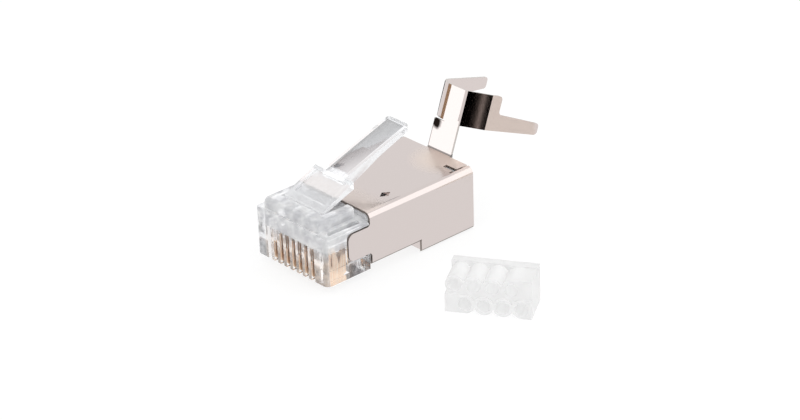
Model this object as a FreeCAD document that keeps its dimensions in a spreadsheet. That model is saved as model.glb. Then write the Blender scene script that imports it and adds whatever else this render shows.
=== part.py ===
import FreeCAD, Part
import math
import os
import Sketcher

# Shielded eight-way modular plug: clear moulding with a flexing latch, eight blades, a folded
# metal shield with a fold-down crimp tail, and the wire guide lying beside it.
# Frame: X across the plug, Y from the nose to the cable end, Z up towards the latch.
# The nose's front face is y = 0 and the underside of the nose is z = 0.

doc = FreeCAD.newDocument("modular_plug")
sheet = doc.addObject("Spreadsheet::Sheet", "sizes")

VALUES = {
    # clear moulding
    "nose_width": 11.68,
    "nose_side_height": 5.5,
    "nose_ridge_height": 5.9,
    "nose_length": 6.05,
    "platform_width": 8.8,
    "platform_height": 7.1,
    "platform_front": 0.12,
    "platform_length": 5.3,
    "well_width": 6.7,
    "well_depth": 1.1,
    "nose_corner_radius": 0.7,
    "platform_edge_radius": 0.3,
    "platform_front_radius": 0.7,
    "front_round_share": 0.6,
    "groove_centre": 5.08,
    "groove_width": 0.62,
    "groove_floor": 5.3,
    "groove_front": 0.95,
    "groove_end": 5.3,
    "groove_corner_radius": 0.28,
    "sleeve_setback": 0.4,
    "sheet_gap": 0.04,
    "joining_depth": 0.5,
    # wire space inside the moulding
    "cavity_width": 9.9,
    "cavity_front": 8.3,
    "cavity_top": 5.65,
    "cavity_floor": 1.3,
    "cavity_mouth_floor": 0.0,
    "cavity_flare_start": 13.9,
    "cavity_flare_length": 1.2,
    "conductor_bore": 1.1,
    "conductor_low_height": 3.05,
    "conductor_high_height": 4.35,
    "conductor_start": 1.2,
    "bore_overlap": 0.2,
    # contact blades
    "contact_pitch": 1.016,
    "blade_thickness": 0.35,
    "blade_front": 0.42,
    "blade_length": 3.1,
    "blade_bottom": -0.25,
    "blade_corner_radius": 0.7,
    "blade_web_height": 1.5,
    "blade_low_top": 2.45,
    "blade_high_top": 3.7,
    "slot_width": 0.56,
    "slot_length": 3.9,
    "slot_front_height": 3.9,
    "slot_shelf_height": 1.1,
    "slot_seat_height": 4.7,
    "blade_clearance": 0.01,
    "prong_width": 0.5,
    "blade_v_gap": 0.9,
    "blade_slit": 0.25,
    "prong_point_height": 0.5,
    "heel_bevel": 0.5,
    "heel_bevel_length": 0.7,
    # latch
    "latch_width": 6.2,
    "root_across": 2.05,
    "root_depth": 0.25,
    "root_radius": 0.32,
    "root_blend_drop": 0.1,
    "root_blend_length": 0.25,
    "root_sink": 0.01,
    "root_clearance": 0.03,
    "shoulder_across": 6.5,
    "shoulder_rise": 2.31,
    "shoulder_thickness": 0.8,
    "latch_recess_width": 5.0,
    "latch_recess_depth": 0.22,
    "tab_width": 3.4,
    "tab_tip_across": 15.9,
    "tab_tip_rise": 3.09,
    "tab_tip_thickness": 0.62,
    "tab_root_thickness": 1.35,
    "tab_corner_radius": 0.45,
    "tab_mid_thickness": 1.1,
    "tab_far_thickness": 0.8,
    "tab_run_near": 1.3,
    "tab_run_mid": 3.0,
    "tab_run_far": 5.0,
    "latch_recess_start": 0.9,
    "latch_margin": 0.45,
    "panel_width": 2.6,
    "panel_depth": 0.22,
    "panel_start": 0.7,
    # shield
    "sheet": 0.28,
    "shield_width": 11.74,
    "shield_top": 6.6,
    "shield_floor": 0.36,
    "shield_deep_floor": -0.9,
    "shield_step": 13.47,
    "step_setback": 0.3,
    "shield_end": 21.3,
    "shield_top_front": 6.18,
    "shield_side_front": 6.35,
    "fold_radius": 0.8,
    "lower_fold_radius": 0.45,
    "flap_front": 3.1,
    "flap_top": 5.07,
    "flap_bottom": 1.85,
    "flap_corner_radius": 0.8,
    "flap_gap": 0.18,
    "flap_bed_length": 3.5,
    "flap_root_radius": 0.4,
    "seam_gap": 0.12,
    "slit_centre": 5.02,
    "slit_width": 0.22,
    "slit_length": 2.7,
    "window_centre": 4.0,
    "window_width": 1.3,
    "window_across": 19.45,
    "window_length": 0.55,
    "lance_centre": 3.75,
    "lance_across": 10.3,
    "lance_length": 1.5,
    "lance_width": 1.1,
    "lance_tooth_width": 0.34,
    "lance_drop": 0.3,
    "lance_bed_depth": 0.45,
    "lance_bed_margin": 0.1,
    # crimp tail
    "tail_width": 3.7,
    "tail_height": 7.6,
    "tail_offset": 0.25,
    "tail_lean": 20.5,
    "neck_length": 0.3,
    "neck_foot": 0.05,
    "barrel_radius": 0.2,
    "barrel_clearance": 0.03,
    "wing_start": 3.6,
    "wing_splay_right": 27.0,
    "wing_splay_left": 13.0,
    "wing_base_length": 3.1,
    "wing_crease": 17.0,
    "wing_length": 10.4,
    "wing_wide_length": 4.45,
    "right_bend_radius": 0.38,
    "left_bend_radius": 2.8,
    "left_corner_reach": 0.7,
    "relief_gap": 0.16,
    "tongue_root": 1.9,
    "tongue_end": 1.2,
    "wing_corner_radius": 0.45,
    # wire guide, standing apart
    "guide_width": 9.2,
    "guide_height": 4.25,
    "guide_length": 4.3,
    "guide_high_length": 4.1,
    "guide_pitch": 2.0,
    "guide_bore": 1.45,
    "guide_tube_overlap": 0.06,
    "guide_web_inset": 0.15,
    "guide_flange": 1.0,
    "guide_flange_rise": 0.1,
    "guide_left": 19.59,
    "guide_across": 10.79,
    "guide_turn": 33.0,
}
for row, (name, number) in enumerate(VALUES.items(), start=1):
    sheet.set("A%d" % row, name)
    sheet.set("B%d" % row, str(number))
    sheet.setAlias("B%d" % row, name)
doc.recompute()


class Dim:
    """A length held both as a number and as the sheet expression that gives it."""

    def __init__(self, number, text):
        self.number = number
        self.text = text

    def __add__(self, other):
        other = dim(other)
        return Dim(self.number + other.number, "(%s + %s)" % (self.text, other.text))

    def __radd__(self, other):
        return dim(other) + self

    def __sub__(self, other):
        other = dim(other)
        return Dim(self.number - other.number, "(%s - %s)" % (self.text, other.text))

    def __rsub__(self, other):
        return dim(other) - self

    def __mul__(self, other):
        other = dim(other)
        return Dim(self.number * other.number, "(%s * %s)" % (self.text, other.text))

    def __rmul__(self, other):
        return dim(other) * self

    def __truediv__(self, other):
        other = dim(other)
        return Dim(self.number / other.number, "(%s / %s)" % (self.text, other.text))

    def __neg__(self):
        return Dim(-self.number, "(0 - %s)" % self.text)


def dim(value):
    if isinstance(value, Dim):
        return value
    return Dim(float(value), "%.6g" % value)


def size(name):
    return Dim(VALUES[name], "sizes." + name)


def sine(angle):
    angle = dim(angle)
    return Dim(math.sin(math.radians(angle.number)), "sin(%s * 1 deg)" % angle.text)


def cosine(angle):
    angle = dim(angle)
    return Dim(math.cos(math.radians(angle.number)), "cos(%s * 1 deg)" % angle.text)


def tangent(angle):
    return Dim(math.tan(math.radians(angle.number)), "tan(%s * 1 deg)" % angle.text)


def least(a, b):
    return Dim(min(a.number, b.number), "min(%s; %s)" % (a.text, b.text))


def bind(thing, name, value):
    thing.setExpression(name, dim(value).text)


def new_body(name):
    body = doc.addObject("PartDesign::Body", name)
    body.Label = name
    return body


def origin_item(body, role):
    return [item for item in body.Origin.OriginFeatures if item.Role == role][0]


def new_sketch(body, name, role, shift):
    sketch = body.newObject("Sketcher::SketchObject", name)
    sketch.AttachmentSupport = [(origin_item(body, role), "")]
    sketch.MapMode = "FlatFace"
    if shift is not None:
        shift = dim(shift)
        sketch.AttachmentOffset = FreeCAD.Placement(
            FreeCAD.Vector(0, 0, shift.number), FreeCAD.Rotation())
        bind(sketch, "AttachmentOffset.Base.z", shift)
    return sketch


def hold(sketch, index, point, kind, value):
    value = dim(value)
    if abs(value.number) < 1e-9:
        axis = -2 if kind == "DistanceX" else -1
        sketch.addConstraint(Sketcher.Constraint("PointOnObject", index, point, axis))
        return
    place = sketch.addConstraint(
        Sketcher.Constraint(kind, -1, 1, index, point, value.number))
    bind(sketch, "Constraints[%d]" % place, value)


def outline(body, name, role, points, shift=None):
    """A closed outline of straight edges, each corner held at its two distances."""
    sketch = new_sketch(body, name, role, shift)
    points = [(dim(a), dim(b)) for a, b in points]
    count = len(points)
    for i in range(count):
        a, b = points[i]
        c, d = points[(i + 1) % count]
        sketch.addGeometry(Part.LineSegment(
            FreeCAD.Vector(a.number, b.number, 0), FreeCAD.Vector(c.number, d.number, 0)))
    for i in range(count):
        sketch.addConstraint(Sketcher.Constraint("Coincident", i, 2, (i + 1) % count, 1))
    for i, (a, b) in enumerate(points):
        hold(sketch, i, 1, "DistanceX", a)
        hold(sketch, i, 1, "DistanceY", b)
    return sketch


def rounds(body, name, role, circles, shift=None):
    """Circles given as centre and radius."""
    sketch = new_sketch(body, name, role, shift)
    for i, (a, b, radius) in enumerate(circles):
        a, b, radius = dim(a), dim(b), dim(radius)
        sketch.addGeometry(Part.Circle(
            FreeCAD.Vector(a.number, b.number, 0), FreeCAD.Vector(0, 0, 1), radius.number))
        hold(sketch, i, 3, "DistanceX", a)
        hold(sketch, i, 3, "DistanceY", b)
        place = sketch.addConstraint(Sketcher.Constraint("Radius", i, radius.number))
        bind(sketch, "Constraints[%d]" % place, radius)
    return sketch


def box_points(low_a, low_b, high_a, high_b):
    return [(low_a, low_b), (high_a, low_b), (high_a, high_b), (low_a, high_b)]


def grow(body, kind, sketch, length, sides="Symmetric", turned=False):
    """Pad or pocket a sketch by a length, evenly both ways or to one side."""
    feature = body.newObject("PartDesign::" + kind, sketch.Name + "_" + kind.lower())
    feature.Profile = sketch
    feature.SideType = sides
    feature.Reversed = turned
    feature.Length = dim(length).number
    bind(feature, "Length", length)
    sketch.Visibility = False
    doc.recompute()
    return feature


def pick(body, test):
    shape = body.Tip.Shape
    return ["Edge%d" % i for i, edge in enumerate(shape.Edges, start=1) if test(edge)]


def dress(body, kind, name, test, amount, second=None):
    """Round or bevel the edges that pass the test."""
    base = body.Tip
    edges = pick(body, test)
    if not edges:
        raise RuntimeError("no edges for " + name)
    feature = body.newObject("PartDesign::" + kind, name)
    feature.Base = (base, edges)
    if kind == "Fillet":
        bind(feature, "Radius", amount)
    else:
        bind(feature, "Size", amount)
        if second is not None:
            feature.ChamferType = "Two distances"
            bind(feature, "Size2", second)
    doc.recompute()
    return feature


def repeat(body, feature, role, count, span):
    pattern = body.newObject("PartDesign::LinearPattern", feature.Name + "_row")
    pattern.Originals = [feature]
    pattern.Direction = (origin_item(body, role), [""])
    pattern.Occurrences = count
    pattern.Length = dim(span).number
    bind(pattern, "Length", span)
    body.Tip = pattern
    doc.recompute()
    return pattern


def mirror(body, features, name):
    copy = body.newObject("PartDesign::Mirrored", name)
    copy.Originals = features
    copy.MirrorPlane = (origin_item(body, "YZ_Plane"), [""])
    body.Tip = copy
    doc.recompute()
    return copy


def close(a, b, slack=0.02):
    return abs(a - dim(b).number) < slack


# how far a cutting shape runs past the body it cuts
overrun = 1.0
# an edge shorter than this along an axis lies square to it
hair = 0.01

half_nose = size("nose_width") / 2
root_height = size("platform_height") - size("root_depth")
platform_front_height = size("platform_height") - size("nose_ridge_height")
shoulder_top = root_height + size("shoulder_rise")
tab_tip_top = shoulder_top + size("tab_tip_rise")
inner_half = size("shield_width") / 2 - size("sheet")
sleeve_half = inner_half - size("sheet_gap")
sleeve_top = size("shield_top") - size("sheet") - size("sheet_gap")
sleeve_floor = size("shield_floor") + size("sheet") + size("sheet_gap")
sleeve_deep = size("shield_deep_floor") + size("sheet") + size("sheet_gap")
step_wall = size("shield_step") + size("step_setback")
step_drop = size("shield_floor") - size("shield_deep_floor")
sleeve_step = step_wall + size("sheet") + size("sheet_gap")
sleeve_end = size("shield_end") - size("sleeve_setback")
blade_back = size("blade_front") + size("blade_length")
first_contact = size("contact_pitch") * -3.5

# ---------------------------------------------------------------- housing
housing = new_body("housing")
nose_run = size("platform_length").number / 2
nose_rise = size("nose_side_height").number / 2
box_run = (size("shield_end") - size("shield_step")).number / 2
grow(housing, "Pad", outline(housing, "nose_side", "YZ_Plane", box_points(
    0, 0, size("nose_length"), size("nose_ridge_height"))), size("nose_width"))
dress(housing, "Chamfer", "nose_shoulders", lambda e: (
    e.BoundBox.YLength > nose_run and close(e.BoundBox.ZMin, size("nose_ridge_height"))),
    half_nose - size("platform_width") / 2,
    size("nose_ridge_height") - size("nose_side_height"))
dress(housing, "Fillet", "nose_corners", lambda e: (
    e.BoundBox.ZLength > nose_rise and close(e.BoundBox.YMax, 0)), size("nose_corner_radius"))
grow(housing, "Pad", outline(housing, "platform_side", "YZ_Plane", box_points(
    size("platform_front"), size("nose_side_height"), size("platform_length"),
    size("platform_height"))), size("platform_width"))
dress(housing, "Fillet", "platform_front_edge", lambda e: (
    close(e.BoundBox.ZMin, size("platform_height"))
    and close(e.BoundBox.YMax, size("platform_front"))),
    least(size("platform_front_radius"), platform_front_height * size("front_round_share")))
dress(housing, "Fillet", "platform_side_edges", lambda e: (
    close(e.BoundBox.ZMin, size("platform_height")) and e.BoundBox.YLength > nose_run),
    size("platform_edge_radius"))
grow(housing, "Pad", outline(housing, "sleeve_side", "YZ_Plane", [
    (size("nose_length") - size("joining_depth"), sleeve_floor),
    (sleeve_step, sleeve_floor),
    (sleeve_step, sleeve_deep),
    (sleeve_end, sleeve_deep),
    (sleeve_end, sleeve_top),
    (size("nose_length"), sleeve_top),
    (size("nose_length"), size("nose_side_height")),
    (size("nose_length") - size("joining_depth"), size("nose_side_height"))]), sleeve_half * 2)
dress(housing, "Fillet", "sleeve_edges", lambda e: (
    close(e.BoundBox.ZMin, sleeve_top) and e.BoundBox.YLength > box_run * 2),
    size("fold_radius") - size("sheet"))
dress(housing, "Fillet", "sleeve_lower_edges", lambda e: (
    close(e.BoundBox.ZMax, sleeve_deep) and e.BoundBox.YLength > box_run),
    size("lower_fold_radius") - size("sheet") + size("sheet_gap"))
# a shallow groove along each shoulder of the nose
groove = grow(housing, "Pocket", outline(housing, "groove_top", "XY_Plane", box_points(
    size("groove_centre") - size("groove_width") / 2, size("groove_front"),
    size("groove_centre") + size("groove_width") / 2, size("groove_end")),
    size("groove_floor")), overrun, "One side", True)
mirror(housing, [groove], "groove_pair")
dress(housing, "Fillet", "groove_corners", lambda e: (
    e.BoundBox.ZLength > hair and close(e.BoundBox.ZMin, size("groove_floor"))
    and e.BoundBox.XLength < hair and e.BoundBox.YLength < hair),
    size("groove_corner_radius"))
# recesses that the shield's side flaps lie in
flap_bed = grow(housing, "Pocket", outline(housing, "flap_bed_side", "YZ_Plane", box_points(
    size("flap_front") - size("flap_gap"), size("flap_bottom") - size("flap_gap"),
    size("flap_front") + size("flap_bed_length"), size("flap_top") + size("flap_gap")),
    sleeve_half), overrun, "One side", True)
mirror(housing, [flap_bed], "flap_bed_pair")
# open well under the latch, with the seat of its root
grow(housing, "Pocket", outline(housing, "latch_well_side", "YZ_Plane", box_points(
    size("root_across"), size("platform_height") - size("well_depth"), size("nose_length"),
    size("platform_height") + overrun)), size("well_width"))
grow(housing, "Pocket", rounds(housing, "root_seat_side", "YZ_Plane", [(
    size("root_across"), root_height, size("root_radius") + size("root_clearance"))]),
    size("well_width"))
# wire space, open at the cable end
grow(housing, "Pocket", outline(housing, "cavity_side", "YZ_Plane", [
    (size("cavity_front"), size("cavity_floor")),
    (size("cavity_flare_start"), size("cavity_floor")),
    (size("cavity_flare_start") + size("cavity_flare_length"), size("cavity_mouth_floor")),
    (sleeve_end + overrun, size("cavity_mouth_floor")),
    (sleeve_end + overrun, size("cavity_top")),
    (size("cavity_front"), size("cavity_top"))]), size("cavity_width"))
# blade slots, open below and in front, narrowing above to a seat that grips the blade
slot = grow(housing, "Pocket", outline(housing, "slot_side", "YZ_Plane", [
    (-overrun, -overrun),
    (size("slot_length"), -overrun),
    (size("slot_length"), size("slot_shelf_height")),
    (size("blade_front"), size("slot_shelf_height")),
    (size("blade_front"), size("slot_front_height")),
    (-overrun, size("slot_front_height"))], first_contact), size("slot_width"))
repeat(housing, slot, "X_Axis", 8, size("contact_pitch") * 7)
seat = grow(housing, "Pocket", outline(housing, "seat_side", "YZ_Plane", box_points(
    size("blade_front") - size("blade_clearance"),
    size("slot_shelf_height") - size("blade_clearance"), blade_back,
    size("slot_seat_height")), first_contact),
    size("blade_thickness") + size("blade_clearance") * 2)
repeat(housing, seat, "X_Axis", 8, size("contact_pitch") * 7)
# conductor bores in two staggered rows
bore_end = size("cavity_front") + size("bore_overlap")
for row_name, height, first in (
        ("low", size("conductor_low_height"), first_contact),
        ("high", size("conductor_high_height"), first_contact + size("contact_pitch"))):
    bore = grow(housing, "Pocket", rounds(housing, row_name + "_bore", "XZ_Plane", [(
        first, height, size("conductor_bore") / 2)], -bore_end),
        bore_end - size("conductor_start"), "One side", True)
    repeat(housing, bore, "X_Axis", 4, size("contact_pitch") * 6)
# pockets below the shield's locking lances
lance_bed = grow(housing, "Pocket", outline(housing, "lance_bed_top", "XY_Plane", box_points(
    size("lance_centre") - size("lance_width") / 2,
    size("lance_across") - size("lance_length") / 2 - size("lance_bed_margin"),
    size("lance_centre") + size("lance_width") / 2,
    size("lance_across") + size("lance_length") / 2 + size("lance_bed_margin")),
    sleeve_top - size("lance_bed_depth")), overrun, "One side", True)
mirror(housing, [lance_bed], "lance_bed_pair")

# ---------------------------------------------------------------- contacts
for number in range(1, 9):
    blade = new_body("contact_%d" % number)
    top = size("blade_low_top") if number % 2 else size("blade_high_top")
    front = size("blade_front")
    web = size("blade_web_height")
    neck = top - size("prong_point_height")
    prong = size("prong_width")
    middle = blade_back - prong - size("blade_v_gap")
    last = middle - prong - size("blade_slit")
    grow(blade, "Pad", outline(blade, "blade_side_%d" % number, "YZ_Plane", [
        (front, size("blade_bottom")),
        (blade_back - size("heel_bevel_length"), size("blade_bottom")),
        (blade_back, size("blade_bottom") + size("heel_bevel")),
        (blade_back, neck),
        (blade_back - prong / 2, top),
        (blade_back - prong, neck),
        (blade_back - prong - size("blade_v_gap") / 2, web),
        (middle, neck),
        (middle - prong / 2, top),
        (middle - prong, neck),
        (middle - prong, web),
        (last, web),
        (last, neck),
        (last - prong / 2, top),
        (last - prong, neck),
        (front, neck)]), size("blade_thickness"))
    dress(blade, "Fillet", "blade_crown_%d" % number, lambda e: (
        close(e.BoundBox.YMax, front) and close(e.BoundBox.ZMax, size("blade_bottom"))),
        size("blade_corner_radius"))
    place = first_contact + size("contact_pitch") * (number - 1)
    blade.Placement.Base = FreeCAD.Vector(place.number, 0, 0)
    bind(blade, "Placement.Base.x", place)

# ---------------------------------------------------------------- latch
latch = new_body("latch")
root_top = root_height + size("root_radius") - size("root_sink")
wide_slope = (shoulder_top - root_top) / (size("shoulder_across") - size("root_across"))
tab_slope = (tab_tip_top - shoulder_top) / (
    size("tab_tip_across") - size("shoulder_across"))


def wide_top(across):
    return root_top + (dim(across) - size("root_across")) * wide_slope


def tab_top(across):
    return shoulder_top + (dim(across) - size("shoulder_across")) * tab_slope


tab_start = size("shoulder_across") - size("latch_margin")
tab_near = size("shoulder_across") + size("tab_run_near")
tab_mid = size("shoulder_across") + size("tab_run_mid")
tab_far = size("shoulder_across") + size("tab_run_far")
recess_start = size("root_across") + size("latch_recess_start")
panel_start = size("shoulder_across") + size("panel_start")
panel_end = size("tab_tip_across") - size("latch_margin")
grow(latch, "Pad", rounds(latch, "root_side", "YZ_Plane", [(
    size("root_across"), root_height, size("root_radius"))]), size("latch_width"))
grow(latch, "Pad", outline(latch, "wide_side", "YZ_Plane", [
    (size("root_across"), root_height - size("root_blend_drop")),
    (size("root_across") + size("root_blend_length"), root_height),
    (size("shoulder_across"), shoulder_top - size("shoulder_thickness")),
    (size("shoulder_across"), shoulder_top),
    (size("root_across"), root_top)]), size("latch_width"))
grow(latch, "Pad", outline(latch, "tab_side", "YZ_Plane", [
    (tab_start, wide_top(tab_start)),
    (tab_start, shoulder_top - size("shoulder_thickness") - size("root_blend_drop")),
    (tab_near, tab_top(tab_near) - size("tab_root_thickness")),
    (tab_mid, tab_top(tab_mid) - size("tab_mid_thickness")),
    (tab_far, tab_top(tab_far) - size("tab_far_thickness")),
    (size("tab_tip_across"), tab_tip_top - size("tab_tip_thickness")),
    (size("tab_tip_across"), tab_tip_top),
    (size("shoulder_across"), shoulder_top)]), size("tab_width"))
dress(latch, "Fillet", "tab_tip_corners", lambda e: (
    close(e.BoundBox.YMin, size("tab_tip_across"))
    and e.BoundBox.ZLength > size("tab_tip_thickness").number / 2),
    size("tab_corner_radius"))
grow(latch, "Pocket", outline(latch, "recess_side", "YZ_Plane", [
    (recess_start, wide_top(recess_start) - size("latch_recess_depth")),
    (tab_start, wide_top(tab_start) - size("latch_recess_depth")),
    (tab_start, wide_top(tab_start) + overrun),
    (recess_start, wide_top(recess_start) + overrun)]), size("latch_recess_width"))
grow(latch, "Pocket", outline(latch, "panel_side", "YZ_Plane", [
    (panel_start, tab_top(panel_start) - size("panel_depth")),
    (panel_end, tab_top(panel_end) - size("panel_depth")),
    (panel_end, tab_top(panel_end) + overrun),
    (panel_start, tab_top(panel_start) + overrun)]), size("panel_width"))

# ---------------------------------------------------------------- shield
shield = new_body("shield")
low_limit = (size("shield_floor") + size("sheet") * 2).number
grow(shield, "Pad", outline(shield, "shield_side", "YZ_Plane", [
    (size("flap_front"), size("shield_floor")),
    (size("shield_step"), size("shield_floor")),
    (size("shield_step"), size("shield_deep_floor")),
    (size("shield_end"), size("shield_deep_floor")),
    (size("shield_end"), size("shield_top")),
    (size("flap_front"), size("shield_top"))]), size("shield_width"))
dress(shield, "Fillet", "upper_folds", lambda e: (
    e.BoundBox.YLength > box_run * 2 and close(e.BoundBox.ZMin, size("shield_top"))),
    size("fold_radius"))
dress(shield, "Fillet", "lower_folds", lambda e: (
    e.BoundBox.YLength > box_run and e.BoundBox.ZMax < low_limit), size("lower_fold_radius"))
grow(shield, "Pocket", outline(shield, "inner_side", "YZ_Plane", [
    (size("flap_front") - overrun, size("shield_floor") + size("sheet")),
    (step_wall + size("sheet"), size("shield_floor") + size("sheet")),
    (step_wall + size("sheet"), size("shield_deep_floor") + size("sheet")),
    (size("shield_end") + overrun, size("shield_deep_floor") + size("sheet")),
    (size("shield_end") + overrun, size("shield_top") - size("sheet")),
    (size("flap_front") - overrun, size("shield_top") - size("sheet"))]), inner_half * 2)
dress(shield, "Fillet", "upper_fold_insides", lambda e: (
    e.BoundBox.YLength > box_run * 2
    and close(e.BoundBox.ZMin, size("shield_top") - size("sheet"))
    and close(abs(e.BoundBox.XMin), inner_half)),
    size("fold_radius") - size("sheet"))
dress(shield, "Fillet", "lower_fold_insides", lambda e: (
    e.BoundBox.YLength > box_run and e.BoundBox.ZMax < low_limit
    and close(abs(e.BoundBox.XMin), inner_half)),
    size("lower_fold_radius") - size("sheet"))
# the step's wall is folded in behind the side walls' cut edges
grow(shield, "Pocket", outline(shield, "step_recess_side", "YZ_Plane", box_points(
    size("shield_step") - overrun, size("shield_deep_floor") - overrun, step_wall,
    size("shield_floor"))), inner_half * 2)
# the front is cut back, leaving one rounded flap on each side
grow(shield, "Pocket", outline(shield, "front_top_side", "YZ_Plane", box_points(
    size("flap_front") - overrun, size("flap_top"), size("shield_top_front"),
    size("shield_top") + overrun)), size("shield_width") + overrun)
grow(shield, "Pocket", outline(shield, "front_low_side", "YZ_Plane", box_points(
    size("flap_front") - overrun, size("shield_floor") - overrun, size("shield_side_front"),
    size("flap_bottom"))), size("shield_width") + overrun)
dress(shield, "Fillet", "flap_corners", lambda e: (
    e.BoundBox.XLength > hair and e.BoundBox.YLength < hair and e.BoundBox.ZLength < hair
    and close(e.BoundBox.YMin, size("flap_front"))), size("flap_corner_radius"))
dress(shield, "Fillet", "flap_roots", lambda e: (
    e.BoundBox.XLength < size("sheet").number * 2
    and e.BoundBox.YLength < hair and e.BoundBox.ZLength < hair
    and (close(e.BoundBox.YMin, size("shield_top_front"))
         and close(e.BoundBox.ZMin, size("flap_top"))
         or close(e.BoundBox.YMin, size("shield_side_front"))
         and close(e.BoundBox.ZMin, size("flap_bottom")))), size("flap_root_radius"))
# seam along the underside
grow(shield, "Pocket", outline(shield, "seam_top", "XY_Plane", box_points(
    size("seam_gap") / -2, size("shield_side_front") - overrun, size("seam_gap") / 2,
    size("shield_end") + overrun), size("shield_floor") + size("sheet") + overrun),
    step_drop + size("sheet") + overrun * 2, "One side")
# relief slit and window on the right of the neck, locking lances on both sides
top_cut = size("shield_top") - size("sheet") * 2
grow(shield, "Pocket", outline(shield, "slit_top", "XY_Plane", box_points(
    size("slit_centre") - size("slit_width") / 2, size("shield_end") - size("slit_length"),
    size("slit_centre") + size("slit_width") / 2, size("shield_end") + overrun),
    top_cut), overrun, "One side", True)
grow(shield, "Pocket", outline(shield, "window_top", "XY_Plane", box_points(
    size("window_centre") - size("window_width") / 2,
    size("window_across") - size("window_length") / 2,
    size("slit_centre"), size("window_across") + size("window_length") / 2),
    top_cut), overrun, "One side", True)
lance = grow(shield, "Pocket", outline(shield, "lance_top", "XY_Plane", [
    (size("lance_centre") - size("lance_width") / 2, size("lance_across")),
    (size("lance_centre"), size("lance_across") - size("lance_length") / 2),
    (size("lance_centre") + size("lance_width") / 2, size("lance_across")),
    (size("lance_centre"), size("lance_across") + size("lance_length") / 2)],
    top_cut), overrun, "One side", True)
lance_back = size("lance_across") + size("lance_length") / 2
lance_tooth = grow(shield, "Pad", outline(shield, "lance_tooth_side", "YZ_Plane", [
    (lance_back + size("lance_drop") / 2, size("shield_top") - size("sheet") / 2),
    (lance_back + size("lance_drop") / 2, size("shield_top") - size("sheet")),
    (size("lance_across"), size("shield_top") - size("sheet") - size("lance_drop")),
    (size("lance_across"), size("shield_top") - size("lance_drop"))],
    size("lance_centre")), size("lance_tooth_width"))
mirror(shield, [lance, lance_tooth], "lance_pair")
# neck of the crimp tail, a little right of the middle, ending in a hollow seat for its bend
bend_across = size("shield_end") + size("neck_length")
bend_height = size("shield_top") - size("sheet") / 2
grow(shield, "Pad", outline(shield, "neck_side", "YZ_Plane", box_points(
    size("shield_end") - size("joining_depth"), size("shield_top") - size("sheet"), bend_across,
    size("shield_top")), size("tail_offset")), size("tail_width"))
grow(shield, "Pocket", rounds(shield, "neck_seat_side", "YZ_Plane", [(
    bend_across, bend_height, size("barrel_radius") + size("barrel_clearance"))],
    size("tail_offset")), size("tail_width") + overrun)

# ---------------------------------------------------------------- crimp tail
tail = new_body("crimp_tail")


def strip_outline(start, headings, lengths, thickness):
    """Outline of a bent strip from its centre line, mitred at each bend."""
    a, b = dim(start[0]), dim(start[1])
    near, far = [], []
    count = len(headings)
    for i in range(count + 1):
        if i == 0:
            lean, reach = headings[0], thickness / 2
        elif i == count:
            lean, reach = headings[-1], thickness / 2
        else:
            lean = (headings[i - 1] + headings[i]) / 2
            reach = thickness / 2 / cosine((headings[i] - headings[i - 1]) / 2)
        near.append((a - sine(lean) * reach, b + cosine(lean) * reach))
        far.append((a + sine(lean) * reach, b - cosine(lean) * reach))
        if i < count:
            a = a + cosine(headings[i]) * lengths[i]
            b = b + sine(headings[i]) * lengths[i]
    return near + far[::-1]


tail_half = size("tail_width") / 2
left_splay = size("wing_splay_left")
right_splay = size("wing_splay_right")
tongue_splay = right_splay - size("wing_crease")
tongue_run = size("wing_length") - size("wing_base_length")
wing_rise = (size("tail_height") - size("wing_start")).number / 2
right_corner = tail_half - size("sheet") / 2
left_corner = tail_half + size("left_corner_reach")
left_tip_across = left_corner + sine(left_splay) * size("wing_length")
left_tip_back = cosine(left_splay) * size("wing_length")
grow(tail, "Pad", outline(tail, "wing_plan", "XY_Plane", strip_outline(
    (-left_tip_across, left_tip_back),
    [270 + left_splay, dim(0), 90 - right_splay, 90 - tongue_splay],
    [size("wing_length"), left_corner + right_corner, size("wing_base_length"), tongue_run],
    size("sheet")), size("wing_start")), size("tail_height") - size("wing_start"), "One side")
for side, bend_radius in ((-1, size("left_bend_radius")), (1, size("right_bend_radius"))):
    side_name = "left" if side < 0 else "right"
    dress(tail, "Fillet", side_name + "_bend_outer", lambda e: (
        e.BoundBox.ZLength > wing_rise and close(e.BoundBox.YMax, size("sheet") / -2)
        and e.BoundBox.XMin * side > 0), bend_radius)
    dress(tail, "Fillet", side_name + "_bend_inner", lambda e: (
        e.BoundBox.ZLength > wing_rise and close(e.BoundBox.YMax, size("sheet") / 2)
        and e.BoundBox.XMin * side > 0), bend_radius - size("sheet"))
# the plate below the wings, parted by a relief gap from the wide roll of the left wing
roll_start = size("left_bend_radius") * tangent(45 - left_splay / 2) - left_corner
grow(tail, "Pad", outline(tail, "plate_front", "XZ_Plane", [
    (-tail_half, size("neck_foot")),
    (tail_half, size("neck_foot")),
    (tail_half, size("wing_start") + size("joining_depth")),
    (roll_start, size("wing_start") + size("joining_depth")),
    (roll_start, size("wing_start") - size("relief_gap")),
    (-tail_half, size("wing_start") - size("relief_gap"))]), size("sheet"))
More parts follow.
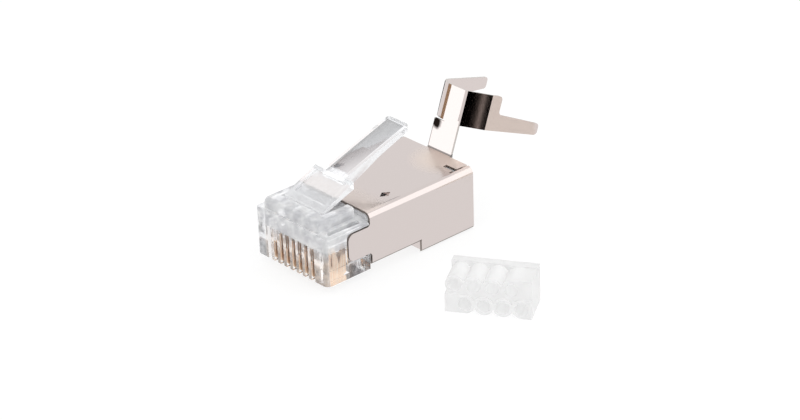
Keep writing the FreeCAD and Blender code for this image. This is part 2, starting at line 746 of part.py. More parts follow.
# each wing narrows to a tongue, low on one side and high on the other, so that they interleave
right_shelf = cosine(right_splay) * size("wing_base_length") + cosine(tongue_splay) * (
    size("wing_wide_length") - size("wing_base_length"))
left_shelf = cosine(left_splay) * size("wing_wide_length")
wing_limit = size("wing_length") + overrun
grow(tail, "Pocket", outline(tail, "right_tongue_side", "YZ_Plane", [
    (right_shelf, size("wing_start") + size("tongue_root")),
    (wing_limit, size("wing_start") + size("tongue_end")),
    (wing_limit, size("tail_height") + overrun),
    (right_shelf, size("tail_height") + overrun)]), wing_limit, "One side", True)
grow(tail, "Pocket", outline(tail, "left_tongue_side", "YZ_Plane", [
    (left_shelf, size("tail_height") - size("tongue_root")),
    (wing_limit, size("tail_height") - size("tongue_end")),
    (wing_limit, size("wing_start") - overrun),
    (left_shelf, size("wing_start") - overrun)]), wing_limit, "One side")
dress(tail, "Fillet", "wing_corners", lambda e: (
    e.Length < size("sheet").number * 1.6 and e.BoundBox.ZLength < size("sheet").number / 2
    and e.BoundBox.YMin > right_shelf.number - size("sheet").number),
    size("wing_corner_radius"))
grow(tail, "Pad", rounds(tail, "bend_side", "YZ_Plane", [(0, 0, size("barrel_radius"))]),
    size("tail_width"))
tail.Placement = FreeCAD.Placement(
    FreeCAD.Vector(VALUES["tail_offset"], bend_across.number, bend_height.number),
    FreeCAD.Rotation(FreeCAD.Vector(-1, 0, 0), VALUES["tail_lean"]))
bind(tail, "Placement.Base.x", size("tail_offset"))
bind(tail, "Placement.Base.y", bend_across)
bind(tail, "Placement.Base.z", bend_height)
bind(tail, "Placement.Rotation.Angle", size("tail_lean"))

# ---------------------------------------------------------------- wire guide
guide = new_body("wire_guide")
guide_half = size("guide_width") / 2
tube = size("guide_pitch") / 2 + size("guide_tube_overlap")
low_row = tube
high_row = size("guide_height") - tube
low_centres = [guide_half - tube - size("guide_pitch") * i for i in range(4)]
high_centres = [tube - guide_half + size("guide_pitch") * i for i in range(4)]
back_end = -size("guide_length")


def guide_pad(name, points, length):
    """Pad a shape seen from the end, from the back face forwards."""
    if len(points[0]) == 3:
        sketch = rounds(guide, name, "XZ_Plane", points, back_end)
    else:
        sketch = outline(guide, name, "XZ_Plane", points, back_end)
    return grow(guide, "Pad", sketch, length, "One side")


guide_pad("web_end", box_points(
    -guide_half + size("guide_web_inset"), low_row, guide_half - size("guide_web_inset"),
    high_row), size("guide_high_length"))
for i in range(4):
    guide_pad("low_tube_%d" % i, [(low_centres[i], low_row, tube)], size("guide_length"))
    guide_pad("high_tube_%d" % i, [(high_centres[i], high_row, tube)],
              size("guide_high_length"))
guide_pad("high_block_end", box_points(
    high_centres[3], low_row, guide_half, size("guide_height")), size("guide_high_length"))
guide_pad("low_block_end", box_points(
    -guide_half, 0, low_centres[3], tube * 2), size("guide_length"))
guide_pad("foot_end", box_points(
    low_centres[0], 0, guide_half, tube * 2), size("guide_length"))
guide_pad("flange_end", box_points(
    -guide_half, 0, guide_half, size("guide_height") + size("guide_flange_rise")),
    size("guide_flange"))
grow(guide, "Pocket", rounds(guide, "bore_ends", "XZ_Plane", [
    (a, low_row, size("guide_bore") / 2) for a in low_centres] + [
    (a, high_row, size("guide_bore") / 2) for a in high_centres], back_end - overrun),
    size("guide_length") + overrun * 2, "One side", True)
guide.Placement = FreeCAD.Placement(
    FreeCAD.Vector(VALUES["guide_left"], VALUES["guide_across"], VALUES["shield_deep_floor"]),
    FreeCAD.Rotation(FreeCAD.Vector(0, 0, 1), VALUES["guide_turn"]))
bind(guide, "Placement.Base.x", size("guide_left") + sine(size("guide_turn"))
     * size("guide_length") / 2)
bind(guide, "Placement.Base.y", size("guide_across") - cosine(size("guide_turn"))
     * size("guide_length") / 2)
bind(guide, "Placement.Base.z", size("shield_deep_floor"))
bind(guide, "Placement.Rotation.Angle", size("guide_turn"))

# ---------------------------------------------------------------- write the parts
doc.recompute()
for thing in doc.Objects:
    if "Invalid" in thing.State or "Error" in thing.State:
        raise RuntimeError("failed: " + thing.Name)
os.makedirs("parts", exist_ok=True)
bodies = [thing for thing in doc.Objects if thing.TypeId == "PartDesign::Body"]
for body in bodies:
    shape = body.Shape
    if shape.isNull() or not shape.isValid() or len(shape.Solids) != 1:
        raise RuntimeError("bad shape: " + body.Label)
    shape.exportStep("parts/%s.step" % body.Label)
    box = shape.BoundBox
    print("%-12s %9.3f mm3  x %.2f %.2f  y %.2f %.2f  z %.2f %.2f" % (
        body.Label, shape.Volume, box.XMin, box.XMax, box.YMin, box.YMax, box.ZMin, box.ZMax))
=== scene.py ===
import math

import bpy
from mathutils import Matrix, Vector


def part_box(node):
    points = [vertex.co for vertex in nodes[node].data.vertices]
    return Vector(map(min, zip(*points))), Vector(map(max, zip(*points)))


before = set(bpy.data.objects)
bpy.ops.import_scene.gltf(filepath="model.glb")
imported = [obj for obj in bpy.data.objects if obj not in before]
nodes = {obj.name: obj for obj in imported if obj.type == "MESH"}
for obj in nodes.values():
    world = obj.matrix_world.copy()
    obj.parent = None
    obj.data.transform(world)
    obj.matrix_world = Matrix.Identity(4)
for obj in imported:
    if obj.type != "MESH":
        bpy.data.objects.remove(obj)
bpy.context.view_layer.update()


# Studio: a sheet of white paper under the plug inside a white tent. A bright wall stands
# behind and a bright card low in front, and small cards beside the crimp tail give its bent
# metal something dark or brown to mirror. A long lens looks down on the nose's right corner.
MM = 0.001


def linear(code):
    """Turns an sRGB hex colour into the linear values that shaders take."""
    parts = [int(code[i:i + 2], 16) / 255 for i in (1, 3, 5)]
    return tuple(p / 12.92 if p <= 0.04045 else ((p + 0.055) / 1.055) ** 2.4
                 for p in parts) + (1.0,)


def add(tree, kind, links=(), values=(), **settings):
    """Adds a shader node. Settings and values name its properties or sockets; links feed it."""
    node = tree.nodes.new(kind)
    for name, value in settings.items():
        if hasattr(node, name):
            setattr(node, name, value)
        else:
            node.inputs[name.replace("_", " ")].default_value = value
    for socket, value in values:
        node.inputs[socket].default_value = value
    for socket, source in links:
        tree.links.new(source, node.inputs[socket])
    return node


def new_material(name):
    """Makes a material with an empty node tree."""
    material = bpy.data.materials.new(name)
    material.use_nodes = True
    material.node_tree.nodes.clear()
    return material


# matt paper: almost white to the camera, and it still takes the plug's faint shadow
paper = new_material("seamless_paper_white")
tree = paper.node_tree
sight = add(tree, "ShaderNodeLightPath")
matt = add(tree, "ShaderNodeBsdfDiffuse", Color=linear("#f4f4f4"))
faint = add(tree, "ShaderNodeBsdfDiffuse", Color=linear("#7c7c7c"))
lift = add(tree, "ShaderNodeEmission", Color=(1, 1, 1, 1), Strength=0.82)
seen = add(tree, "ShaderNodeAddShader", links=[(0, faint.outputs[0]), (1, lift.outputs[0])])
glow = add(tree, "ShaderNodeEmission", Color=(1, 1, 1, 1), Strength=1.0)
through = add(tree, "ShaderNodeMath", operation="MAXIMUM",
              links=[(0, sight.outputs["Is Glossy Ray"]),
                     (1, sight.outputs["Is Transmission Ray"])])
mirrored = add(tree, "ShaderNodeMixShader", links=[
    (0, through.outputs[0]), (1, matt.outputs[0]), (2, glow.outputs[0])])
mix = add(tree, "ShaderNodeMixShader", links=[
    (0, sight.outputs["Is Camera Ray"]), (1, mirrored.outputs[0]), (2, seen.outputs[0])])
add(tree, "ShaderNodeOutputMaterial", links=[("Surface", mix.outputs[0])])

floor_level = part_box("shield")[0].z
sweep = bpy.data.meshes.new("paper_sweep")
reach = 0.6
sweep.from_pydata([(-reach, -reach, 0), (reach, -reach, 0), (reach, reach, 0),
                   (-reach, reach, 0)], [], [(0, 1, 2, 3)])
floor = bpy.data.objects.new("paper_sweep", sweep)
floor.location.z = floor_level - 0.02 * MM
floor.data.materials.append(paper)
bpy.context.collection.objects.link(floor)

world = bpy.data.worlds.new("white_tent")
world.use_nodes = True
bpy.context.scene.world = world
tree = world.node_tree
tree.nodes.clear()
sight = add(tree, "ShaderNodeLightPath")
tent = add(tree, "ShaderNodeBackground", Color=(1, 1, 1, 1), Strength=0.97)
backdrop = add(tree, "ShaderNodeBackground", Color=(1, 1, 1, 1), Strength=1.0)
mix = add(tree, "ShaderNodeMixShader", links=[
    (0, sight.outputs["Is Camera Ray"]), (1, tent.outputs[0]), (2, backdrop.outputs[0])])
add(tree, "ShaderNodeOutputWorld", links=[("Surface", mix.outputs[0])])

middle = Vector((5, 24, 9)) * MM


def card(name, centre, width, height, shade, strength=0.0, lean=0.0):
    """A flat card that faces the plug, in millimetres. It glows where it has a strength, and
    leans by an angle in degrees. Only mirrors and clear parts see it."""
    surface = new_material(name + "_surface")
    tree = surface.node_tree
    if strength:
        face = add(tree, "ShaderNodeEmission", Color=linear(shade), Strength=strength)
    else:
        face = add(tree, "ShaderNodeBsdfDiffuse", Color=linear(shade))
    add(tree, "ShaderNodeOutputMaterial", links=[("Surface", face.outputs[0])])
    half, tall = width / 2 * MM, height / 2 * MM
    mesh = bpy.data.meshes.new(name)
    mesh.from_pydata([(-half, -tall, 0), (half, -tall, 0), (half, tall, 0), (-half, tall, 0)],
                     [], [(0, 1, 2, 3)])
    mesh.materials.append(surface)
    spot = Vector(centre) * MM
    facing = (spot - middle).to_track_quat("Z", "Y").to_matrix().to_4x4()
    panel = bpy.data.objects.new(name, mesh)
    panel.matrix_world = (Matrix.Translation(spot) @ facing
                          @ Matrix.Rotation(math.radians(lean), 4, "Z"))
    panel.visible_camera = False
    panel.visible_shadow = False
    panel.visible_diffuse = False
    bpy.context.collection.objects.link(panel)
    return panel


# the right wing's base mirrors this striped card: black, a brown grey that pales, then black
striped_width = 16.0
striped = card("striped_card_right", (53, 13.2, 5), striped_width, 34, "#010101", lean=-20.0)
tree = striped.data.materials[0].node_tree
where = add(tree, "ShaderNodeTexCoord")
place = add(tree, "ShaderNodeSeparateXYZ", links=[(0, where.outputs["Object"])])
across = add(tree, "ShaderNodeMapRange", links=[("Value", place.outputs["X"])],
             From_Min=-striped_width / 2 * MM, From_Max=striped_width / 2 * MM)
stripes = add(tree, "ShaderNodeValToRGB", links=[("Fac", across.outputs[0])])
stripes.color_ramp.elements[0].position = 0.735
stripes.color_ramp.elements[0].color = linear("#010101")
stripes.color_ramp.elements[1].position = 0.774
stripes.color_ramp.elements[1].color = linear("#c0b4ae")
stripes.color_ramp.elements.new(0.747).color = linear("#645a54")
stripes.color_ramp.elements.new(0.785).color = linear("#0a0807")
tree.links.new(stripes.outputs[0], tree.nodes["Diffuse BSDF"].inputs["Color"])

# the left bend mirrors the brown card and the black one, and the right wing's tongue the sand
# one; the plate and the folds mirror the bright ones
card("brown_card_left", (-66, -16.5, 12), 23, 40, "#ad9074")
card("black_card_left", (-26, 43, 2), 24, 9, "#030303")
card("sand_card_right", (25, 36.5, 2), 9, 8, "#fffaf3")
card("bright_card_front", (-115, -105, 22), 130, 90, "#fafeff", 1.62)
card("bright_wall_behind", (75, 170, 85), 330, 190, "#ffffff", 1.5)

# a lamp above gives the shadow its direction
lamp = bpy.data.lights.new("soft_box", "AREA")
lamp.size = 0.16
lamp.energy = 0.06
lamp_place = bpy.data.objects.new("soft_box", lamp)
lamp_place.location = middle + Vector((0.06, 0.02, 0.22))
lamp_place.rotation_euler = (lamp_place.location - middle).to_track_quat("Z", "Y").to_euler()
bpy.context.collection.objects.link(lamp_place)

# the camera is a long lens, turned a little about its own axis
aim = Vector((2.341, 13.604, 2.948)) * MM
azimuth, elevation, roll = math.radians(48.496), math.radians(27.604), math.radians(-1.885)
distance = 265.35 * MM
back = Vector((math.sin(azimuth) * math.cos(elevation),
               -math.cos(azimuth) * math.cos(elevation), math.sin(elevation)))
across = Vector((math.cos(azimuth), math.sin(azimuth), 0))
upright = back.cross(across)
right = across * math.cos(roll) + upright * math.sin(roll)
upward = upright * math.cos(roll) - across * math.sin(roll)
camera = bpy.data.objects.new("camera", bpy.data.cameras.new("camera"))
camera.data.lens = 109.72
camera.data.sensor_width = 36
camera.data.clip_start = 0.01
camera.data.clip_end = 10
camera.matrix_world = Matrix((
    (right.x, upward.x, back.x, aim.x + back.x * distance),
    (right.y, upward.y, back.y, aim.y + back.y * distance),
    (right.z, upward.z, back.z, aim.z + back.z * distance),
    (0, 0, 0, 1)))
bpy.context.collection.objects.link(camera)
bpy.context.scene.camera = camera
bpy.context.scene.view_settings.view_transform = "Standard"

# light crosses the clear moulding's many walls before it comes out again
light_paths = bpy.context.scene.cycles
light_paths.max_bounces = 40
light_paths.transmission_bounces = 40
light_paths.glossy_bounces = 16
light_paths.transparent_max_bounces = 40


# Housing: the nose that holds the blades and leads each wire to its blade. It is injection
# moulded in clear polycarbonate, in one piece, and slid into the shield from the front.
def dress(name, material):
    """Gives a carried node its material."""
    slots = nodes[name].data.materials
    slots.clear()
    slots.append(material)


def moulded(name, veil_low, veil_high, dull_low, dull_high, skin):
    """Clear polycarbonate whose skin turns from polished to stoned between two heights. The
    veil is how much of the surface is cloudy, and dull is its roughness."""
    material = new_material(name)
    tree = material.node_tree
    # the polished sides end and the stoned top begins between these heights
    side_end, top_start = 3.85 * MM, 4.15 * MM
    where = add(tree, "ShaderNodeTexCoord")
    # sink marks a millimetre or so apart, as thick walls pull in when they cool
    sink = add(tree, "ShaderNodeTexNoise", Scale=900.0, Detail=2.0,
               links=[("Vector", where.outputs["Object"])])
    swell = add(tree, "ShaderNodeBump", Strength=0.35, Distance=0.00006,
                links=[("Height", sink.outputs[0])])
    place = add(tree, "ShaderNodeSeparateXYZ", links=[(0, where.outputs["Object"])])
    dull = add(tree, "ShaderNodeMapRange", links=[("Value", place.outputs["Z"])],
               From_Min=3.8 * MM, From_Max=5.6 * MM, To_Min=dull_low, To_Max=dull_high)
    body = add(tree, "ShaderNodeBsdfPrincipled", Base_Color=linear("#fefeff"), IOR=1.585,
               Transmission_Weight=1.0,
               links=[("Roughness", dull.outputs[0]), ("Normal", swell.outputs[0])])
    # the skin's haze is on the outside only, and thin on the flat lower sides: inside, the
    # walls stay clear
    haze = add(tree, "ShaderNodeMapRange", links=[("Value", place.outputs["Z"])],
               From_Min=side_end, From_Max=top_start, To_Min=veil_low, To_Max=veil_high)
    # polish comes and goes from one patch to the next, more on the sides than on the top
    patches = add(tree, "ShaderNodeTexNoise", Scale=1500.0, Detail=1.0,
                  links=[("Vector", where.outputs["Object"])])
    patchy = add(tree, "ShaderNodeMapRange", links=[("Value", patches.outputs[0])],
                 From_Min=0.3, From_Max=0.7, To_Min=-0.16, To_Max=0.16)
    spread = add(tree, "ShaderNodeMapRange", links=[("Value", place.outputs["Z"])],
                 From_Min=side_end, From_Max=top_start, To_Min=1.0, To_Max=0.15)
    uneven = add(tree, "ShaderNodeMath", operation="MULTIPLY_ADD", links=[
        (0, patchy.outputs[0]), (1, spread.outputs[0]), (2, haze.outputs[0])])
    side = add(tree, "ShaderNodeNewGeometry")
    outside = add(tree, "ShaderNodeMath", operation="SUBTRACT", values=[(0, 1.0)],
                  links=[(1, side.outputs["Backfacing"])])
    skinned = add(tree, "ShaderNodeMath", operation="MULTIPLY",
                  links=[(0, uneven.outputs[0]), (1, outside.outputs[0])])
    turn = add(tree, "ShaderNodeSeparateXYZ", links=[(0, where.outputs["Normal"])])
    sideways = add(tree, "ShaderNodeMath", operation="ABSOLUTE", links=[(0, turn.outputs["X"])])
    on_side = add(tree, "ShaderNodeMath", operation="GREATER_THAN",
                  links=[(0, sideways.outputs[0])], values=[(1, 0.9)])
    low = add(tree, "ShaderNodeMath", operation="LESS_THAN",
              links=[(0, place.outputs["Z"])], values=[(1, side_end)])
    thin = add(tree, "ShaderNodeMath", operation="MULTIPLY",
               links=[(0, on_side.outputs[0]), (1, low.outputs[0])])
    kept = add(tree, "ShaderNodeMapRange", links=[("Value", thin.outputs[0])],
               To_Min=1.0, To_Max=0.35)
    share = add(tree, "ShaderNodeMath", operation="MULTIPLY",
                links=[(0, skinned.outputs[0]), (1, kept.outputs[0])])
    bloom = add(tree, "ShaderNodeBsdfDiffuse", links=[("Color", skin(tree, where))])
    mix = add(tree, "ShaderNodeMixShader", links=[
        (0, share.outputs[0]), (1, body.outputs[0]), (2, bloom.outputs[0])])
    add(tree, "ShaderNodeOutputMaterial", links=[("Surface", mix.outputs[0])])
    return material


def clouded(tree, where):
    """The nose's skin: flow marks a millimetre or two across, where the melt ran round pins.
    Round the blades a gold tint is painted in, standing in for the light from their gold, and
    the top inside the shield is painted in shade."""
    shield_front, under_shield = 7.5 * MM, 5.9 * MM
    flow = add(tree, "ShaderNodeTexNoise", Scale=650.0, Detail=3.0,
               links=[("Vector", where.outputs["Object"])])
    tone = add(tree, "ShaderNodeValToRGB", links=[("Fac", flow.outputs[0])])
    tone.color_ramp.elements[0].position = 0.38
    tone.color_ramp.elements[0].color = linear("#dcdde1")
    tone.color_ramp.elements[1].position = 0.62
    tone.color_ramp.elements[1].color = linear("#fdfeff")
    place = add(tree, "ShaderNodeSeparateXYZ", links=[(0, where.outputs["Object"])])
    # painted light from the gold, on the blades' block: low, near the front, and clear of the
    # left wall
    low = add(tree, "ShaderNodeMapRange", links=[("Value", place.outputs["Z"])],
              From_Min=2.6 * MM, From_Max=4.0 * MM, To_Min=1.0, To_Max=0.0)
    front = add(tree, "ShaderNodeMapRange", links=[("Value", place.outputs["Y"])],
                From_Min=3.3 * MM, From_Max=3.9 * MM, To_Min=1.0, To_Max=0.0)
    beside = add(tree, "ShaderNodeMapRange", links=[("Value", place.outputs["X"])],
                 From_Min=-4.4 * MM, From_Max=-3.7 * MM)
    block = add(tree, "ShaderNodeMath", operation="MULTIPLY",
                links=[(0, low.outputs[0]), (1, front.outputs[0])])
    lit = add(tree, "ShaderNodeMath", operation="MULTIPLY",
              links=[(0, block.outputs[0]), (1, beside.outputs[0])])
    warm = add(tree, "ShaderNodeMix", data_type="RGBA", values=[(7, linear("#f5e3d4"))],
               links=[(0, lit.outputs[0]), (6, tone.outputs[0])])
    # painted shade: the top inside the shield is coloured dark, as little light comes in there
    behind = add(tree, "ShaderNodeMath", operation="GREATER_THAN",
                 links=[(0, place.outputs["Y"])], values=[(1, shield_front)])
    on_top = add(tree, "ShaderNodeMath", operation="GREATER_THAN",
                 links=[(0, place.outputs["Z"])], values=[(1, under_shield)])
    shaded = add(tree, "ShaderNodeMath", operation="MULTIPLY",
                 links=[(0, behind.outputs[0]), (1, on_top.outputs[0])])
    skin = add(tree, "ShaderNodeMix", data_type="RGBA", values=[(7, linear("#241d19"))],
               links=[(0, shaded.outputs[0]), (6, warm.outputs[2])])
    return skin.outputs[2]


# Clear polycarbonate from a polished mould gives hard bright facets with a little bloom. The
# nose's top has a duller skin, because the mould is only stoned there.
dress("housing", moulded("polycarbonate_clear_moulded", veil_low=0.42, veil_high=0.62,
                         dull_low=0.05, dull_high=0.10, skin=clouded))


# Contacts: eight flat blades in the nose, not yet pressed home, so that they stand a little
# proud underneath. Each is stamped from phosphor bronze strip and plated with gold.
# Thin gold over rolled strip is a pale warm mirror, streaked the way that the strip ran.
gold = new_material("phosphor_bronze_gold_plated")
tree = gold.node_tree
where = add(tree, "ShaderNodeTexCoord")
rolled = add(tree, "ShaderNodeMapping", Scale=(1.0, 1.0, 0.08),
             links=[("Vector", where.outputs["Object"])])
streak = add(tree, "ShaderNodeTexNoise", Scale=7000.0, Detail=3.0,
             links=[("Vector", rolled.outputs[0])])
tone = add(tree, "ShaderNodeValToRGB", links=[("Fac", streak.outputs[0])])
tone.color_ramp.elements[0].position = 0.3
tone.color_ramp.elements[0].color = linear("#ecc299")
tone.color_ramp.elements[1].position = 0.7
tone.color_ramp.elements[1].color = linear("#fcecd9")
body = add(tree, "ShaderNodeBsdfPrincipled", Metallic=1.0, Roughness=0.32,
           links=[("Base Color", tone.outputs[0])])
add(tree, "ShaderNodeOutputMaterial", links=[("Surface", body.outputs[0])])
for number in range(1, 9):
    dress("contact_%d" % number, gold)


# Latch: the spring arm that clicks into the jack, with a thumb tab and a plain sunk panel.
# It is moulded in the housing's polycarbonate and flexes at its thin root.
def sunk_panel_shade(tree, where):
    """The latch's skin: pale, with painted shade in the tab's sunk panel: grey, darkest by its
    left wall and towards the tip."""
    half_width, root_end, tip_end = 1.3 * MM, 6.45 * MM, 15.46 * MM
    place = add(tree, "ShaderNodeSeparateXYZ", links=[(0, where.outputs["Object"])])
    aside = add(tree, "ShaderNodeMath", operation="ABSOLUTE", links=[(0, place.outputs["X"])])
    narrow = add(tree, "ShaderNodeMath", operation="LESS_THAN",
                 links=[(0, aside.outputs[0])], values=[(1, half_width + 0.01 * MM)])
    along = add(tree, "ShaderNodeMath", operation="GREATER_THAN",
                links=[(0, place.outputs["Y"])], values=[(1, root_end)])
    short = add(tree, "ShaderNodeMath", operation="LESS_THAN",
                links=[(0, place.outputs["Y"])], values=[(1, tip_end)])
    within = add(tree, "ShaderNodeMath", operation="MULTIPLY",
                 links=[(0, along.outputs[0]), (1, short.outputs[0])])
    panel = add(tree, "ShaderNodeMath", operation="MULTIPLY",
                links=[(0, narrow.outputs[0]), (1, within.outputs[0])])
    over = add(tree, "ShaderNodeMapRange", links=[("Value", place.outputs["X"])],
               From_Min=-half_width, From_Max=half_width)
    near = add(tree, "ShaderNodeMapRange", links=[("Value", place.outputs["Y"])],
               From_Min=root_end, From_Max=tip_end, To_Min=0.62, To_Max=0.0)
    light = add(tree, "ShaderNodeMath", operation="MULTIPLY_ADD", values=[(1, 0.5)],
                links=[(0, over.outputs[0]), (2, near.outputs[0])])
    wall = add(tree, "ShaderNodeMapRange", links=[("Value", place.outputs["X"])],
               From_Min=-half_width, From_Max=-half_width + 0.35 * MM)
    graded = add(tree, "ShaderNodeMath", operation="MINIMUM",
                 links=[(0, light.outputs[0]), (1, wall.outputs[0])])
    # painted shade: the panel's grey darkens by its left wall and towards the tip
    shade = add(tree, "ShaderNodeValToRGB", links=[("Fac", graded.outputs[0])])
    shade.color_ramp.elements[0].position = 0.04
    shade.color_ramp.elements[0].color = linear("#17181a")
    shade.color_ramp.elements[1].position = 0.95
    shade.color_ramp.elements[1].color = linear("#e6e6ea")
    shade.color_ramp.elements.new(0.13).color = linear("#46484c")
    shade.color_ramp.elements.new(0.45).color = linear("#6c6e74")
    skin = add(tree, "ShaderNodeMix", data_type="RGBA", values=[(6, linear("#fafbfd"))],
               links=[(0, panel.outputs[0]), (7, shade.outputs[0])])
    return skin.outputs[2]


# It is thin and often rubbed, so its skin is nearly as cloudy low down as on top.
dress("latch", moulded("polycarbonate_clear_latch", veil_low=0.44, veil_high=0.48,
                       dull_low=0.05, dull_high=0.09, skin=sunk_panel_shade))


# Shield: one blank of thin nickel-plated steel, pierced, folded round the moulding and closed
# underneath. The crimp tail is sheared from the same strip.
def plated(name, shade, dull, bare_and_shade, edge_and_shade_masks, painted_light_mask, painted_tone, painted_tone_dull):
    """Bright nickel on rolled steel, with unplated steel where the first mask marks edges left
    by the shears, and painted shade as well on the shield; the second mask marks painted light:
    a warm satin sheen on the shield, and a dark reflection and painted shade on the tail."""
    material = new_material(name)
    tree = material.node_tree
    where = add(tree, "ShaderNodeTexCoord")
    # rolling lines 0.1 mm apart along the strip, drawn coarser than they are so that they show
    grain = add(tree, "ShaderNodeMapping", Scale=(1.0, 0.05, 1.0),
                links=[("Vector", where.outputs["Object"])])
    streak = add(tree, "ShaderNodeTexNoise", Scale=9000.0, Detail=3.0,
                 links=[("Vector", grain.outputs[0])])
    polish = add(tree, "ShaderNodeMapRange", links=[("Value", streak.outputs[0])],
                 To_Min=dull * 0.7, To_Max=dull * 1.3)
    body = add(tree, "ShaderNodeBsdfPrincipled", Base_Color=linear(shade), Metallic=1.0,
               links=[("Roughness", polish.outputs[0])])
    bare_steel_and_shade = add(tree, "ShaderNodeBsdfPrincipled", Base_Color=linear(bare_and_shade),
                  Metallic=1.0, Roughness=0.45)
    cut_and_shade = edge_and_shade_masks(tree, where)
    mix = add(tree, "ShaderNodeMixShader", links=[
        (0, cut_and_shade.outputs[0]), (1, body.outputs[0]), (2, bare_steel_and_shade.outputs[0])])
    painted_tone_bsdf = add(tree, "ShaderNodeBsdfPrincipled", Base_Color=linear(painted_tone),
                    Metallic=1.0, Roughness=painted_tone_dull)
    with_painted_tone = add(tree, "ShaderNodeMixShader", links=[
        (0, painted_light_mask(tree, where).outputs[0]), (1, mix.outputs[0]), (2, painted_tone_bsdf.outputs[0])])
    add(tree, "ShaderNodeOutputMaterial", links=[("Surface", with_painted_tone.outputs[0])])
    return material


def shield_edges_and_shade(tree, where):
    """Sheared edges of the shield: the rims of its sides and of its top, and painted shade on
    the faces of its sides that turn down underneath. How far a face turns to an axis is a
    cosine, so 0.3 is nearly edge on and 0.9 nearly square on."""
    lower_fold, upper_fold, top_level = 0.9 * MM, 5.6 * MM, 5.0 * MM
    side_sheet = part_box("shield")[1].x - 0.3 * MM
    place = add(tree, "ShaderNodeSeparateXYZ", links=[(0, where.outputs["Object"])])
    turn = add(tree, "ShaderNodeSeparateXYZ", links=[(0, where.outputs["Normal"])])
    aside = add(tree, "ShaderNodeMath", operation="ABSOLUTE", links=[(0, place.outputs["X"])])
    sideways = add(tree, "ShaderNodeMath", operation="ABSOLUTE", links=[(0, turn.outputs["X"])])
    on_side = add(tree, "ShaderNodeMath", operation="GREATER_THAN",
                  links=[(0, aside.outputs[0])], values=[(1, side_sheet)])
    below_fold = add(tree, "ShaderNodeMath", operation="LESS_THAN",
                     links=[(0, place.outputs["Z"])], values=[(1, upper_fold)])
    above_fold = add(tree, "ShaderNodeMath", operation="GREATER_THAN",
                     links=[(0, place.outputs["Z"])], values=[(1, lower_fold)])
    edge_on = add(tree, "ShaderNodeMath", operation="LESS_THAN",
                  links=[(0, sideways.outputs[0])], values=[(1, 0.3)])
    between = add(tree, "ShaderNodeMath", operation="MULTIPLY",
                  links=[(0, below_fold.outputs[0]), (1, above_fold.outputs[0])])
    side_rim = add(tree, "ShaderNodeMath", operation="MULTIPLY",
                   links=[(0, on_side.outputs[0]), (1, edge_on.outputs[0])])
    flap_rim = add(tree, "ShaderNodeMath", operation="MULTIPLY",
                   links=[(0, side_rim.outputs[0]), (1, between.outputs[0])])
    ahead = add(tree, "ShaderNodeMath", operation="LESS_THAN",
                links=[(0, turn.outputs["Y"])], values=[(1, -0.9)])
    high = add(tree, "ShaderNodeMath", operation="GREATER_THAN",
               links=[(0, place.outputs["Z"])], values=[(1, top_level)])
    high_or_side = add(tree, "ShaderNodeMath", operation="MAXIMUM",
                       links=[(0, high.outputs[0]), (1, on_side.outputs[0])])
    front_rim = add(tree, "ShaderNodeMath", operation="MULTIPLY",
                    links=[(0, ahead.outputs[0]), (1, high_or_side.outputs[0])])
    # painted shade: where the sides turn down underneath they take the edges' dark steel colour,
    # standing in for the shadow under the plug
    downward = add(tree, "ShaderNodeMath", operation="LESS_THAN",
                   links=[(0, turn.outputs["Z"])], values=[(1, -0.35)])
    foot_painted_shade = add(tree, "ShaderNodeMath", operation="MULTIPLY",
                   links=[(0, on_side.outputs[0]), (1, downward.outputs[0])])
    upper_rims = add(tree, "ShaderNodeMath", operation="MAXIMUM",
                     links=[(0, flap_rim.outputs[0]), (1, front_rim.outputs[0])])
    return add(tree, "ShaderNodeMath", operation="MAXIMUM",
               links=[(0, upper_rims.outputs[0]), (1, foot_painted_shade.outputs[0])])


def neck_painted_sheen(tree, where):
    """A painted warm satin sheen on the top beside the neck, and on the band behind the top's
    front edge."""
    under_top = 6.5 * MM
    neck_side = (2.0 * MM, 20.6 * MM, under_top)
    away = add(tree, "ShaderNodeVectorMath", operation="DISTANCE",
               links=[(0, where.outputs["Object"])], values=[(1, neck_side)])
    neck = add(tree, "ShaderNodeMapRange", links=[("Value", away.outputs["Value"])],
               From_Min=1.8 * MM, From_Max=4.2 * MM, To_Min=0.9, To_Max=0.0)
    place = add(tree, "ShaderNodeSeparateXYZ", links=[(0, where.outputs["Object"])])
    ahead = add(tree, "ShaderNodeMapRange", links=[("Value", place.outputs["Y"])],
                From_Min=7.6 * MM, From_Max=9.8 * MM, To_Min=0.45, To_Max=0.0)
    on_top = add(tree, "ShaderNodeMath", operation="GREATER_THAN",
                 links=[(0, place.outputs["Z"])], values=[(1, under_top)])
    band = add(tree, "ShaderNodeMath", operation="MULTIPLY",
               links=[(0, ahead.outputs[0]), (1, on_top.outputs[0])])
    return add(tree, "ShaderNodeMath", operation="MAXIMUM",
               links=[(0, neck.outputs[0]), (1, band.outputs[0])])


# Bright nickel over steel is a warm grey mirror with a soft edge to its reflections, and the
# edges sheared after plating are dull darker steel. The same darker colour is painted as shade
# where the sides turn down underneath. By the neck and behind the front edge a warmer satin
# sheen is painted in.
dress("shield", plated("steel_nickel_plated", shade="#d7cdca", dull=0.11, bare_and_shade="#8c837d",
                       edge_and_shade_masks=shield_edges_and_shade, painted_light_mask=neck_painted_sheen,
                       painted_tone="#ebddd3", painted_tone_dull=0.42))


# Crimp tail: the strip that folds down onto the cable, with two wings that are squeezed round
# it. It is the shield's own steel, bent up at the neck.
plate_back = 22.9 * MM  # the wings lie behind this, and the leaning plate before it


